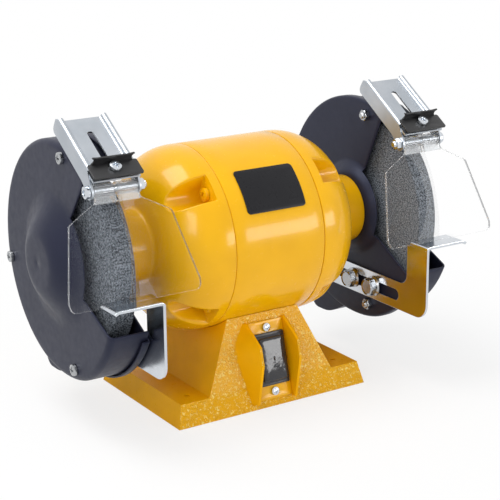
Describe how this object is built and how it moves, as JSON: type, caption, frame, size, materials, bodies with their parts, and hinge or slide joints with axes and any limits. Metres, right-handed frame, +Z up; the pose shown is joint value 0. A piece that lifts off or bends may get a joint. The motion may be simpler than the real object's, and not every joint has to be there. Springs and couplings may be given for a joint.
{
  "type": "bench grinder",
  "caption": "Bench grinder: a yellow motor on a cast base with a switch, and at each end a guarded wheel with tool rest, clear eye shield and spark deflector.",
  "frame": {"origin": "on the bench plane, under the middle of the motor shaft", "axes": "+X along the shaft to the right, +Y to the rear, +Z up; the operator stands at -Y"},
  "size_m": [0.359, 0.186, 0.2296],
  "materials": {
    "yellow_paint": "gloss",
    "yellow_cast": "gloss with a light orange-peel texture on the front",
    "guard_paint": "satin",
    "abrasive": "rough grit",
    "zinc": "bright zinc plating",
    "steel": "machined",
    "black_steel": "satin",
    "clear_plastic": "clear",
    "black_plastic": "satin",
    "smoky_plastic": "gloss, smoky",
    "core_steel": "laminated",
    "copper": "enamelled wire",
    "capacitor_shell": "satin",
    "rubber": "matte",
    "label_film": "satin film"
  },
  "bodies": {
    "frame": {"stator_housing": "yellow_paint", "end_bell_left": "yellow_paint", "end_bell_right": "yellow_paint", "through_bolt_1": "yellow_paint", "through_bolt_2": "yellow_paint", "through_bolt_3": "yellow_paint", "through_bolt_4": "yellow_paint", "stator_core": "core_steel", "stator_winding": "copper", "bearing_left": "steel", "bearing_right": "steel", "label_plate": "label_film", "base_casting": "yellow_cast", "base_bolt": "zinc", "switch_plate": "yellow_paint", "switch_body": "black_plastic", "switch_boot": "smoky_plastic", "switch_screw_lower": "zinc", "switch_screw_upper": "zinc", "capacitor": "capacitor_shell", "cable_gland": "rubber", "guard_back_left": "guard_paint", "guard_cover_left": "guard_paint", "guard_screw_1_left": "zinc", "guard_screw_2_left": "zinc", "guard_screw_3_left": "zinc", "rest_bolt_1_left": "zinc", "rest_bolt_2_left": "zinc", "shield_bracket_left": "zinc", "bracket_bolt_left": "zinc", "hinge_bolt_left": "zinc", "guard_back_right": "guard_paint", "guard_cover_right": "guard_paint", "guard_screw_1_right": "zinc", "guard_screw_2_right": "zinc", "guard_screw_3_right": "zinc", "rest_bolt_1_right": "zinc", "rest_bolt_2_right": "zinc", "shield_bracket_right": "zinc", "bracket_bolt_right": "zinc", "hinge_bolt_right": "zinc"},
    "rotor": {"rotor_core": "core_steel", "motor_shaft": "steel", "wheel_left": "abrasive", "wheel_flange_inner_left": "steel", "wheel_flange_outer_left": "steel", "wheel_nut_left": "zinc", "wheel_right": "abrasive", "wheel_flange_inner_right": "steel", "wheel_flange_outer_right": "steel", "wheel_nut_right": "zinc"},
    "rocker": {"switch_rocker": "black_plastic"},
    "shield_left": {"eye_shield_left": "clear_plastic"},
    "rest_left": {"tool_rest_left": "zinc"},
    "deflector_left": {"spark_deflector_left": "black_steel", "deflector_screw_left": "zinc"},
    "shield_right": {"eye_shield_right": "clear_plastic"},
    "rest_right": {"tool_rest_right": "zinc"},
    "deflector_right": {"spark_deflector_right": "black_steel", "deflector_screw_right": "zinc"}
  },
  "joints": [
    {"name": "rotor_spin", "type": "hinge", "parent": "frame", "child": "rotor", "pos_m": [0, 0, 0.1245], "axis": [1, 0, 0], "continuous": true},
    {"name": "shield_left_tilt", "type": "hinge", "parent": "frame", "child": "shield_left", "pos_m": [-0.13, -0.06193, 0.18682], "axis": [-1, 0, 0], "range_deg": [0, 65]},
    {"name": "rest_left_slide", "type": "slide", "parent": "frame", "child": "rest_left", "axis": [0, -1, 0], "range_m": [-0.001, 0.014]},
    {"name": "deflector_left_slide", "type": "slide", "parent": "frame", "child": "deflector_left", "axis": [0, 0.8387, 0.5446], "range_m": [0, 0.022]},
    {"name": "shield_right_tilt", "type": "hinge", "parent": "frame", "child": "shield_right", "pos_m": [0.13, -0.06193, 0.18682], "axis": [-1, 0, 0], "range_deg": [0, 65]},
    {"name": "rest_right_slide", "type": "slide", "parent": "frame", "child": "rest_right", "axis": [0, -1, 0], "range_m": [-0.001, 0.014]},
    {"name": "deflector_right_slide", "type": "slide", "parent": "frame", "child": "deflector_right", "axis": [0, 0.8387, 0.5446], "range_m": [0, 0.022]},
    {"name": "rocker_tilt", "type": "hinge", "parent": "frame", "child": "rocker", "pos_m": [0, -0.05042, 0.03502], "axis": [-1, 0, 0], "range_deg": [0, 16]}
  ]
}
